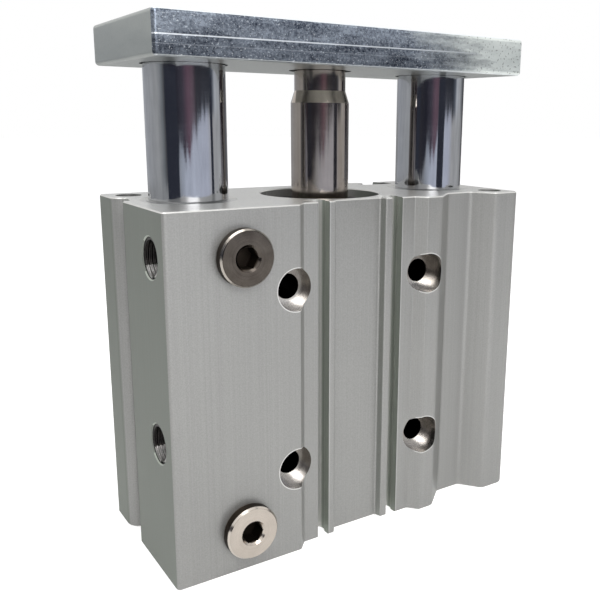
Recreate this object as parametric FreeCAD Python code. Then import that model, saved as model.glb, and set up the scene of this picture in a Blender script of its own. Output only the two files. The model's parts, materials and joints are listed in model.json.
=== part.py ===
import FreeCAD, Part

import os
from math import asin, cos, degrees, pi, radians, sin, sqrt, tan

# Guided pneumatic cylinder, millimetres, +Z up along the stroke.
# Origin: centre of the base face, on the axis of the piston rod.
# The port face looks towards -Y, the two side ports towards -X.

V = FreeCAD.Vector
UP = V(0, 0, 1)

# ---------------------------------------------------------------- driving sizes
BORE_R = 16.0                 # cylinder bore, radius
STROKE = 50.0
EXTENSION = 23.0              # how far the carriage stands out of its retracted stop
RETRACTED_GAP = 10.0          # body to end plate with the rod fully in
ROD_R = 8.0                   # piston rod, radius
GUIDE_R = 10.0                # guide rods, radius

BODY_HALF_W = 55.0
BODY_HALF_D = 24.0
BODY_ENDS = 43.0              # length of the body beyond the stroke
BODY_H = STROKE + BODY_ENDS
GUIDE_EDGE = 16.0             # guide rod axes to the narrow sides
GUIDE_X = BODY_HALF_W - GUIDE_EDGE

PLATE_INSET_X, PLATE_INSET_Y = 0.5, 2.0
PLATE_W = 2 * (BODY_HALF_W - PLATE_INSET_X)
PLATE_D = 2 * (BODY_HALF_D - PLATE_INSET_Y)
PLATE_T = 10.0
PLATE_Z = BODY_H + RETRACTED_GAP + EXTENSION
PLATE_TOP = PLATE_Z + PLATE_T

# clearances, seats and edges
RUN_CLEAR = 0.04              # radial running clearance of rods in their bushes
SEAL_CLEAR = 0.02             # radial clearance of lip seals on the face they wipe
FIT_CLEAR = 0.05              # radial clearance of parts slipped in and held by a ring
EDGE = 0.3                    # small edge break
OVERRUN = 1.0                 # how far a cutter runs past the face it opens
DRILL_POINT = 31.0            # slope of a drill point, degrees
THREAD_LEAD = 0.8             # lead-in on the end of a threaded shank

# ---------------------------------------------------------------- body extrusion
FRONT = -BODY_HALF_D
SHELF_DEPTH = 2.8             # strip on which the sensor grooves open
CENTRE_DEPTH = 4.8            # flat in the middle of the port face
RELIEF_DEPTH = 6.2            # relief to the right of the right-hand boss
SHELF_Y, CENTRE_Y, RELIEF_Y = FRONT + SHELF_DEPTH, FRONT + CENTRE_DEPTH, FRONT + RELIEF_DEPTH
CENTRE_X = 7.3
RIDGE_X = 8.0
SHELF_X = 17.6
BOSS_X = 20.1
BOSS_END_X = 25.0
BOSS_FOOT_X = 32.2            # foot of the slope at the end of the right-hand boss
RELIEF_EDGE, FLANGE_EDGE = 14.2, 9.4         # ramp of the relief to the narrow side
RELIEF_X, CORNER_FLANGE_X = BODY_HALF_W - RELIEF_EDGE, BODY_HALF_W - FLANGE_EDGE
SIDE_NOTCH = (3.2, 11.0)      # notch in both narrow sides, from y to y
SIDE_NOTCH_DEPTH = 3.6
NOTCH_SLOPE = (0.8, 1.6)      # slanting front wall of the notch, in x and y

# rounding of the outline's corners
PROFILE_ROUND = 0.5
PORT_CORNER_ROUND = 1.0
BOSS_END_ROUND = 2.5
BOSS_FOOT_ROUND = 2.0
RELIEF_ROUND = 1.5
FLANGE_ROUND = 2.0
FRONT_CORNER_ROUND = 3.0
REAR_CORNER_ROUND = 1.5
NOTCH_ROUNDS = (0.6, 0.8, 1.0, 3.5)

SENSOR_GROOVE_X = 11.6
SENSOR_GROOVE_W = 3.4
SENSOR_GROOVE_R = 2.2
SENSOR_GROOVE_DEPTH = 3.6     # shelf to the middle of the groove's round part
SENSOR_GROOVE_Y = SHELF_Y + SENSOR_GROOVE_DEPTH
T_SLOT_INSET = 7.0            # T-slot to guide rod, along X
T_SLOT_X = GUIDE_X - T_SLOT_INSET
T_SLOT_MOUTH, T_SLOT_LIP = 6.5, 3.5
T_SLOT_W, T_SLOT_DEPTH = 10.5, 8.0

# ---------------------------------------------------------------- holes in the body
MOUNT_X = 21.0
MOUNT_BELOW, MOUNT_ABOVE = 23.8, 21.2        # rows of mounting holes to the ends
MOUNT_Z = (MOUNT_BELOW, BODY_H - MOUNT_ABOVE)
MOUNT_HOLE_R, MOUNT_BORE_R, MOUNT_BORE_DEPTH = 3.3, 5.5, 5.4
M8_R, M8_CORE_R = 4.0, 3.4
MOUNT_THREAD = 16.0
CORNER_EDGE_X, CORNER_EDGE_Y = 6.0, 7.0
CORNER_X, CORNER_Y = BODY_HALF_W - CORNER_EDGE_X, BODY_HALF_D - CORNER_EDGE_Y
CORNER_THREAD, CORNER_DRILL = 16.0, 20.0

PORT_R = 4.87                 # G1/8, outside of the thread
PORT_CHAMFER = 0.45
PORT_EDGE = 19.3              # front ports to the narrow side they stand near
FRONT_PORT_X = PORT_EDGE - BODY_HALF_W
PORT_ABOVE = 11.5             # upper ports to the rod end
UPPER_PORT_Z = BODY_H - PORT_ABOVE
FRONT_PORT_Z = (11.2, UPPER_PORT_Z)
FRONT_PORT_DEPTH = 8.0
SIDE_PORT_EDGE = 9.2          # side ports to the port face
SIDE_PORT_Y = FRONT + SIDE_PORT_EDGE
SIDE_PORT_Z = (35.4, UPPER_PORT_Z)
SIDE_PORT_DEPTH = 7.0
DRILL_R = 1.8
GALLERY_OFFSET = 0.5          # drillings that join the ports run this far off the port axis
GALLERY_Y = SIDE_PORT_Y - GALLERY_OFFSET
FEED_START = (1.5, 2.5)       # slanting drilling, start from the front port's mouth
FEED_END = (0.72 * BORE_R, 0.53 * BORE_R)    # and where it comes out in the bore
BALL_R = 2.0
BALL_DEPTH = 1.5
SHAFT_Y = FRONT + FRONT_PORT_DEPTH - BALL_R  # upright drilling below the front ports

# ---------------------------------------------------------------- ends of the bore
MOUTH_R = BORE_R + 0.7        # widened ends of the bore
RING_T = 1.2
RING_GROOVE_T = 1.3
RING_GROOVE_DEPTH = 1.2
RING_W = 3.0
RING_LUG_R, RING_LUG_HOLE_R = 2.0, 1.0
RING_LUG_IN = 0.2             # lugs stand this far inside the ring's inner edge
RING_LUG_GAP = 1.6
HEAD_RING_TURN, COLLAR_RING_TURN = 90.0, 60.0    # directions of the rings' gaps
HEAD_T = 5.0
HEAD_TOP = 8.0
HEAD_RECESS_R, HEAD_RECESS = 9.0, 2.0
O_RING_W, O_RING_H = 2.0, 2.2
O_RING_ROUND = 0.6
HEAD_GROOVE_Z = HEAD_TOP - HEAD_T + 1.4

PISTON_T = 14.0
BUMPER_PROUD = 1.0
PACK_T = PISTON_T + 2 * BUMPER_PROUD         # piston with both bumpers
CHAMBER_TOP = HEAD_TOP + PACK_T + STROKE
COLLAR_TOP = BODY_H - 3.8
COLLAR_LEDGE = COLLAR_TOP - 5.2
COLLAR_NECK_R = BORE_R - 2.0
COLLAR_GROOVE_Z = COLLAR_LEDGE + 1.2
COLLAR_HOLE_CLEAR = 0.3       # collar round the rod, radial
BUSH_T = 1.6
SEAL_W, SEAL_H = 3.4, 4.2     # section of the rod seal
SEAL_POCKET_Z = COLLAR_LEDGE - 0.4
SEAL_SHOULDER = 1.0           # collar wall between bush and seal
SEAL_THROAT, SEAL_GAP, SEAL_LIP = 1.5, 0.5, 1.2

# ---------------------------------------------------------------- piston
PISTON_R = BORE_R - 0.3
PISTON_Z = HEAD_TOP + EXTENSION
MAGNET_Z, MAGNET_W, MAGNET_DEPTH = 4.2, 3.2, 3.6   # magnet groove above the lower face
MAGNET_SUNK = 0.4
PISTON_SEAL_Z, PISTON_SEAL_W, PISTON_SEAL_DEPTH = 9.0, 3.0, 3.0
SPIGOT_R = 5.0
BUMPER_W = 4.7
HEAD_BUMPER_INNER = SPIGOT_R + 1.2
HEAD_BUMPER_R = (HEAD_BUMPER_INNER, HEAD_BUMPER_INNER + BUMPER_W)
ROD_BUMPER_INNER = ROD_R + COLLAR_HOLE_CLEAR
ROD_BUMPER_R = (ROD_BUMPER_INNER, ROD_BUMPER_INNER + BUMPER_W)
BUMPER_SINK = 2.0
BUMPER_ROUND = 0.4
GASKET_W, GASKET_H = 2.0, 1.4
GASKET_ROUND = 0.5

# ---------------------------------------------------------------- guides
BUSH_WALL = 2.0
GUIDE_BUSH_R = GUIDE_R + BUSH_WALL
GUIDE_BORE_R = GUIDE_R + 1.0
UPPER_BUSH_L, LOWER_BUSH_L, FELT_L = 15.7, 16.0, 5.0
BUSH_BELOW_FACE = 0.3
FELT_GAP = 1.0                # free length on both sides of the felt ring
UPPER_BUSH = (BODY_H - BUSH_BELOW_FACE - UPPER_BUSH_L, BODY_H - BUSH_BELOW_FACE)
FELT = (UPPER_BUSH[0] - FELT_GAP - FELT_L, UPPER_BUSH[0] - FELT_GAP)
LOWER_BUSH = (FELT[0] - FELT_GAP - LOWER_BUSH_L, FELT[0] - FELT_GAP)
BUSH_LEAD = (0.4, 0.5)        # edge breaks inside a bush, below and above
GUIDE_STOP_Z = 2.0            # lower ends of the guide rods with the rod fully in
GUIDE_END = GUIDE_STOP_Z + EXTENSION
GUIDE_CHAMFER = 1.5
ROD_SEAT = 1.0                # depth of the seats under the end plate
SEAT_CLEAR, NECK_SEAT_CLEAR = 0.7, 1.5

# ---------------------------------------------------------------- rod end and plate
NECK_R = ROD_R - 1.0
NECK_L, NECK_CONE = 5.3, 3.2         # straight neck below the plate, cone below that
NECK_Z = (PLATE_Z - NECK_L - NECK_CONE, PLATE_Z - NECK_L)
PLATE_ROUND = 1.0
PLATE_TAP_EDGE_X, PLATE_TAP_EDGE_Y = 6.5, 7.0
PLATE_TAP_X, PLATE_TAP_Y = PLATE_W / 2 - PLATE_TAP_EDGE_X, PLATE_D / 2 - PLATE_TAP_EDGE_Y
PLATE_TAP_DEPTH = 8.0
GUIDE_SCREW = dict(thread=5.0, head=10.0, key=6.0, key_depth=3.6, length=30.0)
ROD_SCREW = dict(thread=4.0, head=8.0, key=5.0, key_depth=2.7, length=28.0)
SCREW_CLEAR = 0.3             # hole in the plate round a screw's shank, radial
SCREW_LAND = 0.4
TAP_RUNOUT = 2.0              # thread drilled this far past the end of its screw
SINK = 0.3                    # screw heads sit this far below the plate

PLUG_FLANGE_R, PLUG_FLANGE_T = 7.0, 2.6
PLUG_EDGE = (0.5, 0.6)        # edge break of the flange, across and along the axis
PLUG_WASHER_T = 0.5
PLUG_WASHER_INSET = 0.25
PLUG_KEY, PLUG_KEY_DEPTH = 5.0, 4.5
PLUG_KEY_CHAMFER = 0.45
PLUG_SHANK_R, PLUG_SHANK = 4.8, 6.5


# ---------------------------------------------------------------- small tools
def rod(radius, start, end):
    """Round bar between two points."""
    start, end = V(*start), V(*end)
    return Part.makeCylinder(radius, (end - start).Length, start, end - start)


def turned(profile, x=0.0, y=0.0):
    """Solid of revolution about the vertical through (x, y); profile in (r, z)."""
    points = [V(r, 0, z) for r, z in profile]
    face = Part.Face(Part.makePolygon(points + points[:1]))
    solid = face.revolve(V(0, 0, 0), UP, 360)
    solid.translate(V(x, y, 0))
    return solid


def ring(inner, outer, z0, z1, x=0.0, y=0.0):
    """Plain ring with a vertical axis."""
    return turned([(inner, z0), (outer, z0), (outer, z1), (inner, z1)], x, y)


def soft_ring(inner, outer, z0, z1, soft=O_RING_ROUND):
    """Ring of elastomer with rounded corners."""
    square_ring = ring(inner, outer, z0, z1)
    return square_ring.makeFillet(soft, [e for e in square_ring.Edges if len(e.Vertexes) == 1])


def slab(x0, x1, y0, y1, z0, z1):
    """Rectangular block between two corners."""
    return Part.makeBox(x1 - x0, y1 - y0, z1 - z0, V(x0, y0, z0))


def hexagon(width, base, depth, axis):
    """Hexagonal prism, width across flats, running from base along axis."""
    across = width / sqrt(3)
    corners = [V(across * cos(k * pi / 3), across * sin(k * pi / 3), 0) for k in range(7)]
    prism = Part.Face(Part.makePolygon(corners)).extrude(V(0, 0, depth))
    prism.Placement = FreeCAD.Placement(V(*base), FreeCAD.Rotation(UP, axis))
    return prism


def drill_point(radius):
    """Depth of the conical end that a drill of this radius leaves."""
    return radius * tan(radians(DRILL_POINT))


def through(radius, x, y=0.0):
    """Cutter for a round hole through the full height of the body."""
    return rod(radius, (x, y, -OVERRUN), (x, y, BODY_H + OVERRUN))


def mirrored(values):
    """Corner list followed by its mirror image about x = 0."""
    return values + [(-x, y, r) for x, y, r in reversed(values)]


def outline_wire(corners, inset=0.0, z=0.0):
    """Closed wire at height z through (x, y, radius) corners, moved inward by inset."""
    turns = []
    count = len(corners)
    for k, (x, y, radius) in enumerate(corners):
        back = (V(*corners[k - 1][:2], 0) - V(x, y, 0)).normalize()
        ahead = (V(*corners[(k + 1) % count][:2], 0) - V(x, y, 0)).normalize()
        half = back.getAngle(ahead) / 2
        inward = 1 if back.cross(ahead).z < 0 else -1
        bisector = (back + ahead).normalize()
        here = V(x, y, z) + bisector * (inward * inset / sin(half))
        round_r = radius - inward * inset
        reach = round_r / tan(half)
        middle = here + bisector * (round_r / sin(half) - round_r)
        turns.append((here + back * reach, middle, here + ahead * reach))
    edges = []
    for k, (start, middle, end) in enumerate(turns):
        edges.append(Part.Arc(start, middle, end).toShape())
        edges.append(Part.makeLine(end, turns[(k + 1) % count][0]))
    return Part.Wire(edges)


def cone_cut(radius, depth, z, x=0.0, y=0.0):
    """Cutter for a 45 degree edge break on the mouth of a hole that opens upwards."""
    return turned([(0, z - radius - depth), (radius + depth, z), (0, z)], x, y)


# ---------------------------------------------------------------- body
def body_corners():
    """Corners of the housing's cross section, anticlockwise from front left."""
    small = PROFILE_ROUND
    left_front = [
        (-BODY_HALF_W, FRONT, PORT_CORNER_ROUND), (-BOSS_X, FRONT, small),
        (-SHELF_X, SHELF_Y, small), (-RIDGE_X, SHELF_Y, small), (-CENTRE_X, CENTRE_Y, small)]
    right_front = [
        (CENTRE_X, CENTRE_Y, small), (RIDGE_X, SHELF_Y, small), (SHELF_X, SHELF_Y, small),
        (BOSS_X, FRONT, small), (BOSS_END_X, FRONT, BOSS_END_ROUND),
        (BOSS_FOOT_X, RELIEF_Y, BOSS_FOOT_ROUND), (RELIEF_X, RELIEF_Y, RELIEF_ROUND),
        (CORNER_FLANGE_X, FRONT, FLANGE_ROUND), (BODY_HALF_W, FRONT, FRONT_CORNER_ROUND)]
    y0, y1 = SIDE_NOTCH
    floor_x = BODY_HALF_W - SIDE_NOTCH_DEPTH
    lip, bend, inner, outer = NOTCH_ROUNDS
    right_side = [
        (BODY_HALF_W, y0, lip), (floor_x + NOTCH_SLOPE[0], y0 + NOTCH_SLOPE[1], bend),
        (floor_x, y1, inner), (BODY_HALF_W, y1, outer),
        (BODY_HALF_W, BODY_HALF_D, REAR_CORNER_ROUND)]
    return left_front + right_front + mirrored(right_side)


def housing():
    """Outside of the extruded housing with broken end edges and its long grooves."""
    corners = body_corners()
    levels = ((EDGE, 0.0), (0.0, EDGE), (0.0, BODY_H - EDGE), (EDGE, BODY_H))
    block = Part.makeLoft([outline_wire(corners, inset, z) for inset, z in levels], True, True)
    cuts = []
    low, high = -OVERRUN, BODY_H + OVERRUN
    rear = BODY_HALF_D
    for side in (-1, 1):
        groove_x = side * SENSOR_GROOVE_X
        half = SENSOR_GROOVE_W / 2
        cuts.append(through(SENSOR_GROOVE_R, groove_x, SENSOR_GROOVE_Y))
        cuts.append(slab(groove_x - half, groove_x + half, FRONT, SENSOR_GROOVE_Y, low, high))
        slot_x = side * T_SLOT_X
        cuts.append(slab(slot_x - T_SLOT_MOUTH / 2, slot_x + T_SLOT_MOUTH / 2,
                         rear - T_SLOT_LIP - OVERRUN, rear + OVERRUN, low, high))
        cuts.append(slab(slot_x - T_SLOT_W / 2, slot_x + T_SLOT_W / 2,
                         rear - T_SLOT_DEPTH, rear - T_SLOT_LIP, low, high))
    return block.cut(cuts)


def bore_cuts():
    """Cylinder bore with its widened ends and ring grooves, and the two guide bores."""
    top = BODY_H + OVERRUN
    cuts = [through(BORE_R, 0),
            rod(MOUTH_R, (0, 0, -OVERRUN), (0, 0, HEAD_TOP)),
            rod(MOUTH_R, (0, 0, COLLAR_LEDGE), (0, 0, top)),
            cone_cut(MOUTH_R, EDGE, BODY_H)]
    for z0 in (HEAD_TOP - HEAD_T - RING_GROOVE_T, COLLAR_TOP):
        cuts.append(rod(MOUTH_R + RING_GROOVE_DEPTH, (0, 0, z0), (0, 0, z0 + RING_GROOVE_T)))
    for x in (-GUIDE_X, GUIDE_X):
        cuts.append(through(GUIDE_BORE_R, x))
        cuts.append(rod(GUIDE_BUSH_R, (x, 0, LOWER_BUSH[0]), (x, 0, top)))
        cuts.append(cone_cut(GUIDE_BUSH_R, EDGE, BODY_H, x))
    return cuts


def mounting_cuts():
    """Counterbored through holes tapped from the rear, and the tapped corner holes."""
    front, rear = FRONT - OVERRUN, BODY_HALF_D + OVERRUN
    cuts = []
    for x in (-MOUNT_X, MOUNT_X):
        for z in MOUNT_Z:
            cuts.append(rod(MOUNT_HOLE_R, (x, front, z), (x, rear, z)))
            cuts.append(rod(MOUNT_BORE_R, (x, front, z), (x, FRONT + MOUNT_BORE_DEPTH, z)))
            cuts.append(rod(M8_R, (x, BODY_HALF_D - MOUNT_THREAD, z), (x, rear, z)))
    for x in (-CORNER_X, CORNER_X):
        for y in (-CORNER_Y, CORNER_Y):
            cuts.append(rod(M8_R, (x, y, -OVERRUN), (x, y, CORNER_THREAD)))
            if x < 0 and y < 0:
                cuts.append(rod(M8_CORE_R, (x, y, -OVERRUN), (x, y, CORNER_DRILL)))
            else:
                cuts.append(through(M8_CORE_R, x, y))
    return cuts


def tapped_port(mouth, inward, depth):
    """Cutter for a threaded port: chamfered mouth, thread and drill point."""
    mouth, inward = V(*mouth), V(*inward)
    return [
        Part.makeCylinder(PORT_R, depth + OVERRUN, mouth - inward * OVERRUN, inward),
        Part.makeCone(PORT_R, 0, drill_point(PORT_R), mouth + inward * depth, inward),
        Part.makeCone(PORT_R + PORT_CHAMFER, PORT_R, PORT_CHAMFER, mouth, inward)]


def port_cuts():
    """Front and side ports with the drillings that lead the air to both chambers."""
    cuts = []
    feed_x, feed_y = FRONT_PORT_X + FEED_START[0], FRONT + FEED_START[1]
    for z in FRONT_PORT_Z:
        cuts += tapped_port((FRONT_PORT_X, FRONT, z), (0, 1, 0), FRONT_PORT_DEPTH)
        cuts.append(rod(DRILL_R, (feed_x, feed_y, z), (-FEED_END[0], -FEED_END[1], z)))
    for z in SIDE_PORT_Z:
        cuts += tapped_port((-BODY_HALF_W, SIDE_PORT_Y, z), (1, 0, 0), SIDE_PORT_DEPTH)
        cuts.append(rod(DRILL_R, (SIDE_PORT_DEPTH - BODY_HALF_W, GALLERY_Y, z),
                        (FRONT_PORT_X + DRILL_R, GALLERY_Y, z)))
    shaft_top = SIDE_PORT_Z[0] + DRILL_R
    seat_top = BALL_DEPTH + 2 * BALL_R
    cuts.append(rod(DRILL_R, (FRONT_PORT_X, SHAFT_Y, 0), (FRONT_PORT_X, SHAFT_Y, shaft_top)))
    cuts.append(rod(BALL_R + FIT_CLEAR, (FRONT_PORT_X, SHAFT_Y, -OVERRUN),
                    (FRONT_PORT_X, SHAFT_Y, seat_top)))
    return cuts


def cylinder_body():
    """Finished housing."""
    return housing().cut(bore_cuts() + mounting_cuts() + port_cuts())


def passage_ball():
    """Steel ball that closes the upright drilling at the base."""
    return Part.makeSphere(BALL_R, V(FRONT_PORT_X, SHAFT_Y, BALL_DEPTH + BALL_R))


# ---------------------------------------------------------------- ends of the bore
def retaining_ring(z0, turn):
    """Internal retaining ring with two eyes; turn is the direction of its gap."""
    outer = MOUTH_R + RING_GROOVE_DEPTH - FIT_CLEAR
    inner = outer - RING_W
    lug_at = inner + RING_LUG_IN
    z1 = z0 + RING_T
    spread = degrees(asin((RING_LUG_R + RING_LUG_GAP) / lug_at))
    clip = ring(inner, outer, z0, z1)
    gap = Part.makeCylinder(outer + OVERRUN, RING_T + 2 * OVERRUN, V(0, 0, z0 - OVERRUN),
                            UP, 2 * spread)
    gap.rotate(V(0, 0, 0), UP, turn - spread)
    clip = clip.cut(gap)
    for side in (-1, 1):
        angle = radians(turn + side * spread)
        x, y = lug_at * cos(angle), lug_at * sin(angle)
        clip = clip.fuse(rod(RING_LUG_R, (x, y, z0), (x, y, z1)))
        clip = clip.cut(rod(RING_LUG_HOLE_R, (x, y, z0 - OVERRUN), (x, y, z1 + OVERRUN)))
    return clip.removeSplitter()


def head_cover():
    """Disc that closes the bore at the base, grooved for its O-ring."""
    outer = MOUTH_R - FIT_CLEAR
    z0, z1 = HEAD_TOP - HEAD_T, HEAD_TOP
    groove = outer - O_RING_W
    g0 = HEAD_GROOVE_Z
    g1 = g0 + O_RING_H
    return turned([
        (0, z0 + HEAD_RECESS), (HEAD_RECESS_R, z0 + HEAD_RECESS), (HEAD_RECESS_R, z0),
        (outer - EDGE, z0), (outer, z0 + EDGE), (outer, g0), (groove, g0), (groove, g1),
        (outer, g1), (outer, z1), (0, z1)])


def mouth_seal(z0):
    """O-ring in the widened end of the bore, pressed to the depth of its groove."""
    return soft_ring(MOUTH_R - FIT_CLEAR - O_RING_W, MOUTH_R, z0, z0 + O_RING_H)


def rod_collar():
    """Rod guide at the rod end: flange in the widened mouth, neck down to the chamber."""
    outer = MOUTH_R - FIT_CLEAR
    groove = outer - O_RING_W
    g0, g1 = COLLAR_GROOVE_Z, COLLAR_GROOVE_Z + O_RING_H
    s0, s1 = SEAL_POCKET_Z, SEAL_POCKET_Z + SEAL_H
    hole = ROD_R + COLLAR_HOLE_CLEAR
    bush_top = s0 - SEAL_SHOULDER
    return turned([
        (hole + BUSH_T, CHAMBER_TOP), (COLLAR_NECK_R - EDGE, CHAMBER_TOP),
        (COLLAR_NECK_R, CHAMBER_TOP + EDGE), (COLLAR_NECK_R, COLLAR_LEDGE),
        (outer, COLLAR_LEDGE), (outer, g0), (groove, g0), (groove, g1), (outer, g1),
        (outer, COLLAR_TOP - EDGE), (outer - EDGE, COLLAR_TOP),
        (hole + SEAL_SHOULDER, COLLAR_TOP), (hole, COLLAR_TOP - SEAL_SHOULDER), (hole, s1),
        (hole + SEAL_W, s1), (hole + SEAL_W, s0), (hole, s0), (hole, bush_top),
        (hole + BUSH_T, bush_top)])


def rod_bush():
    """Dry bearing in the collar that carries the piston rod."""
    return ring(ROD_R + RUN_CLEAR, ROD_R + COLLAR_HOLE_CLEAR + BUSH_T,
                CHAMBER_TOP, SEAL_POCKET_Z - SEAL_SHOULDER)


def rod_seal():
    """Lip seal and wiper round the piston rod: heel, two lips and the gap between them."""
    z0, z1 = SEAL_POCKET_Z, SEAL_POCKET_Z + SEAL_H
    back = ROD_R + COLLAR_HOLE_CLEAR + SEAL_W
    lip = ROD_R + SEAL_CLEAR
    throat = ROD_R + SEAL_THROAT
    gap = lip + SEAL_GAP
    return turned([
        (lip, z0), (throat, z0 + SEAL_LIP), (back - SEAL_LIP, z0), (back, z0 + SEAL_LIP / 2),
        (back, z1), (throat, z1), (lip + SEAL_LIP / 4, z1 - SEAL_LIP / 3),
        (lip, z1 - SEAL_LIP), (gap, z1 - 2 * SEAL_LIP), (gap, z0 + SEAL_LIP),
        (lip, z0 + SEAL_LIP / 2)])


# ---------------------------------------------------------------- guides
def guide_bush(x, span):
    """Slide bearing of one guide rod, with a lead-in at the top."""
    inner = GUIDE_R + RUN_CLEAR
    z0, z1 = span
    below, above = BUSH_LEAD
    return turned([
        (inner + below, z0), (GUIDE_BUSH_R, z0), (GUIDE_BUSH_R, z1), (inner + above, z1),
        (inner, z1 - above), (inner, z0 + below)], x)


def guide_felt(x):
    """Oil-soaked felt ring between the two slide bearings of one guide rod."""
    return ring(GUIDE_R + SEAL_CLEAR, GUIDE_BUSH_R, *FELT, x)


def guide_rod(x):
    """Hardened guide rod, seated in the end plate and tapped for its screw."""
    top = PLATE_Z + ROD_SEAT
    thread = GUIDE_SCREW["thread"]
    thread_end = PLATE_TOP - GUIDE_SCREW["length"] - TAP_RUNOUT
    return turned([
        (0, GUIDE_END), (GUIDE_R - GUIDE_CHAMFER, GUIDE_END),
        (GUIDE_R, GUIDE_END + GUIDE_CHAMFER), (GUIDE_R, top - EDGE), (GUIDE_R - EDGE, top),
        (thread, top), (thread, thread_end), (0, thread_end - drill_point(thread))], x)


# ---------------------------------------------------------------- piston
def piston_levels():
    """Heights of the piston's two end faces."""
    return PISTON_Z + BUMPER_PROUD, PISTON_Z + PACK_T - BUMPER_PROUD


def piston():
    """Piston with grooves for its seal and magnet and pockets for both bumpers."""
    z0, z1 = piston_levels()
    m0, s0 = z0 + MAGNET_Z, z0 + PISTON_SEAL_Z
    m1, s1 = m0 + MAGNET_W, s0 + PISTON_SEAL_W
    m_floor, s_floor = PISTON_R - MAGNET_DEPTH, PISTON_R - PISTON_SEAL_DEPTH
    inner, outer = HEAD_BUMPER_R
    top_inner, top_outer = ROD_BUMPER_R
    gasket_r, gasket_z = SPIGOT_R + GASKET_W, z1 - GASKET_H
    return turned([
        (SPIGOT_R, z0), (inner, z0), (inner, z0 + BUMPER_SINK), (outer, z0 + BUMPER_SINK),
        (outer, z0), (PISTON_R - EDGE, z0), (PISTON_R, z0 + EDGE), (PISTON_R, m0),
        (m_floor, m0), (m_floor, m1), (PISTON_R, m1), (PISTON_R, s0), (s_floor, s0),
        (s_floor, s1), (PISTON_R, s1), (PISTON_R, z1 - EDGE), (PISTON_R - EDGE, z1),
        (top_outer, z1), (top_outer, z1 - BUMPER_SINK), (top_inner, z1 - BUMPER_SINK),
        (top_inner, z1), (gasket_r, z1), (gasket_r, gasket_z), (SPIGOT_R, gasket_z)])


def piston_seal():
    """Seal in the upper piston groove, running on the bore."""
    z0 = piston_levels()[0] + PISTON_SEAL_Z
    return soft_ring(PISTON_R - PISTON_SEAL_DEPTH, BORE_R - SEAL_CLEAR, z0, z0 + PISTON_SEAL_W)


def piston_magnet():
    """Magnet strip for the position sensors, in the lower piston groove."""
    z0 = piston_levels()[0] + MAGNET_Z
    return ring(PISTON_R - MAGNET_DEPTH, PISTON_R - MAGNET_SUNK, z0, z0 + MAGNET_W)


def bumper(radii, face, direction):
    """Elastomer stop ring, sunk into one piston face and standing proud of it."""
    z0, z1 = sorted((face - direction * BUMPER_SINK, face + direction * BUMPER_PROUD))
    return soft_ring(*radii, z0, z1, BUMPER_ROUND)


def piston_gasket():
    """O-ring between the piston rod's shoulder and the piston."""
    top = piston_levels()[1]
    return soft_ring(SPIGOT_R, SPIGOT_R + GASKET_W, top - GASKET_H, top, GASKET_ROUND)


def piston_rod():
    """Rod with a threaded spigot below, a neck above and a tapped upper end."""
    z0, z1 = piston_levels()
    top = PLATE_Z + ROD_SEAT
    thread = ROD_SCREW["thread"]
    thread_end = PLATE_TOP - ROD_SCREW["length"] - TAP_RUNOUT
    return turned([
        (0, z0), (SPIGOT_R - THREAD_LEAD, z0), (SPIGOT_R, z0 + THREAD_LEAD), (SPIGOT_R, z1),
        (ROD_R - EDGE, z1), (ROD_R, z1 + EDGE), (ROD_R, NECK_Z[0]), (NECK_R, NECK_Z[1]),
        (NECK_R, top - EDGE), (NECK_R - EDGE, top), (thread, top), (thread, thread_end),
        (0, thread_end - drill_point(thread))])


# ---------------------------------------------------------------- end plate and screws
def end_plate():
    """Steel end plate: seats below, countersinks above and four blind tapped holes."""
    half_w, half_d, top = PLATE_W / 2, PLATE_D / 2, PLATE_TOP
    plate = slab(-half_w, half_w, -half_d, half_d, PLATE_Z, top)
    plate = plate.makeFillet(PLATE_ROUND, plate.Edges)
    guide_seat, neck_seat = GUIDE_R + SEAT_CLEAR, NECK_R + NECK_SEAT_CLEAR
    cuts = []
    for x, screw, seat in ((-GUIDE_X, GUIDE_SCREW, guide_seat), (0.0, ROD_SCREW, neck_seat),
                           (GUIDE_X, GUIDE_SCREW, guide_seat)):
        head, rim = screw["head"], top - SINK
        cuts.append(rod(seat, (x, 0, PLATE_Z - OVERRUN), (x, 0, PLATE_Z + ROD_SEAT)))
        cuts.append(rod(screw["thread"] + SCREW_CLEAR, (x, 0, PLATE_Z), (x, 0, top + OVERRUN)))
        cuts.append(turned([(0, rim - head), (head, rim), (head, top + OVERRUN),
                            (0, top + OVERRUN)], x))
    for x in (-PLATE_TAP_X, PLATE_TAP_X):
        for y in (-PLATE_TAP_Y, PLATE_TAP_Y):
            cuts.append(rod(M8_R, (x, y, top - PLATE_TAP_DEPTH), (x, y, top + OVERRUN)))
            cuts.append(cone_cut(M8_R, EDGE, top, x, y))
    return plate.cut(cuts)


def countersunk_screw(x, screw):
    """Countersunk screw with a hexagon socket, its head just below the plate's face."""
    top = PLATE_TOP - SINK
    thread, head, key_depth = screw["thread"], screw["head"], screw["key_depth"]
    end = PLATE_TOP - screw["length"]
    solid = turned([
        (0, end), (thread - THREAD_LEAD, end), (thread, end + THREAD_LEAD),
        (thread, top - head + thread), (head - SCREW_LAND, top - SCREW_LAND),
        (head - SCREW_LAND, top), (0, top)], x)
    return solid.cut(hexagon(screw["key"], (x, 0, top - key_depth), key_depth + OVERRUN, UP))


# ---------------------------------------------------------------- port plugs
def laid_over(solid, z):
    """Put a piece turned about the vertical on the axis of the front port at height z."""
    solid.rotate(V(0, 0, 0), V(1, 0, 0), 90)
    solid.translate(V(FRONT_PORT_X, FRONT, z))
    return solid


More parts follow.
